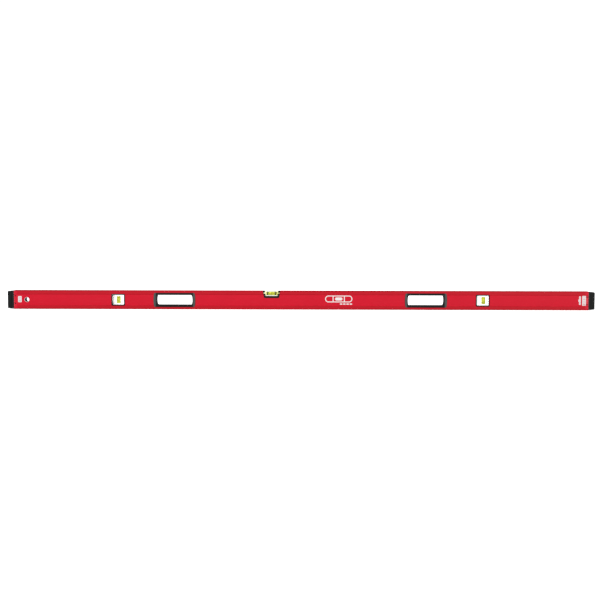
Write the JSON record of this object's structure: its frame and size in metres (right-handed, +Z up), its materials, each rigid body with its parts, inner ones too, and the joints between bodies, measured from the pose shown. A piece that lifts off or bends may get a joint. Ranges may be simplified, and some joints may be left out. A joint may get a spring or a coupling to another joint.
{
  "type": "spirit level",
  "caption": "Long box-beam spirit level with a top-read level vial, plumb vials towards the ends, lined hand holes, a hang hole and pull-off end caps.",
  "frame": {"origin": "centre of the bottom working face", "axes": "+X along the length towards the end without the hang hole, -Y out of the front face, +Z up"},
  "size_m": [1.985, 0.0278, 0.0635],
  "materials": {
    "red_powder_coat": "extruded aluminium under a satin red powder coat, bare at the cut edge of the hang hole",
    "black_plastic": "fine moulded texture",
    "clear_acrylic": "clear, machined and polished",
    "vial_fluid": "clear yellow-green vial fluid",
    "read_line_ink": "printed ring",
    "bubble": "air bubble",
    "grip_rubber": "soft grip rubber, fine texture",
    "cap_plastic": "moulded plastic",
    "cap_rubber": "shock-absorbing rubber",
    "label_film": "white film label with plain symbols",
    "white_print": "white print on the coat"
  },
  "bodies": {
    "frame": {"frame_extrusion": "red_powder_coat", "level_vial_housing": "black_plastic", "level_vial_block": "clear_acrylic", "level_vial_fluid": "vial_fluid", "level_vial_bands": "read_line_ink", "level_vial_plug": "clear_acrylic", "left_plumb_bezel_front": "black_plastic", "left_plumb_bezel_rear": "black_plastic", "left_plumb_block": "clear_acrylic", "left_plumb_fluid": "vial_fluid", "left_plumb_lines": "read_line_ink", "left_plumb_plug": "clear_acrylic", "right_plumb_bezel_front": "black_plastic", "right_plumb_bezel_rear": "black_plastic", "right_plumb_block": "clear_acrylic", "right_plumb_fluid": "vial_fluid", "right_plumb_lines": "read_line_ink", "right_plumb_plug": "clear_acrylic", "left_grip_front": "grip_rubber", "left_grip_rear": "grip_rubber", "right_grip_front": "grip_rubber", "right_grip_rear": "grip_rubber", "left_care_label": "label_film", "right_care_label": "label_film", "right_length_label": "label_film", "bubble_emblem": "white_print"},
    "level_bubble": {"level_vial_bubble": "bubble"},
    "left_plumb_bubble": {"left_plumb_bubble": "bubble"},
    "right_plumb_bubble": {"right_plumb_bubble": "bubble"},
    "left_end_cap": {"left_cap_core": "cap_plastic", "left_cap_bumper": "cap_rubber", "left_cap_latch_front": "cap_plastic", "left_cap_latch_rear": "cap_plastic"},
    "right_end_cap": {"right_cap_core": "cap_plastic", "right_cap_bumper": "cap_rubber", "right_cap_latch_front": "cap_plastic", "right_cap_latch_rear": "cap_plastic"}
  },
  "joints": [
    {"name": "left_cap_slide", "type": "slide", "parent": "frame", "child": "left_end_cap", "axis": [-1, 0, 0], "range_m": [0, 0.045], "deforming": ["left_cap_latch_front", "left_cap_latch_rear"]},
    {"name": "right_cap_slide", "type": "slide", "parent": "frame", "child": "right_end_cap", "axis": [1, 0, 0], "range_m": [0, 0.045], "deforming": ["right_cap_latch_front", "right_cap_latch_rear"]},
    {"name": "level_bubble_slide", "type": "slide", "parent": "frame", "child": "level_bubble", "axis": [1, 0, 0], "range_m": [-0.007, 0.007], "stiffness_N_per_m": 2},
    {"name": "left_plumb_bubble_slide", "type": "slide", "parent": "frame", "child": "left_plumb_bubble", "axis": [0, 0, 1], "range_m": [-0.0048, 0.0055], "stiffness_N_per_m": 4, "springref_m": 0.012},
    {"name": "right_plumb_bubble_slide", "type": "slide", "parent": "frame", "child": "right_plumb_bubble", "axis": [0, 0, 1], "range_m": [-0.0048, 0.0055], "stiffness_N_per_m": 4, "springref_m": 0.012}
  ]
}
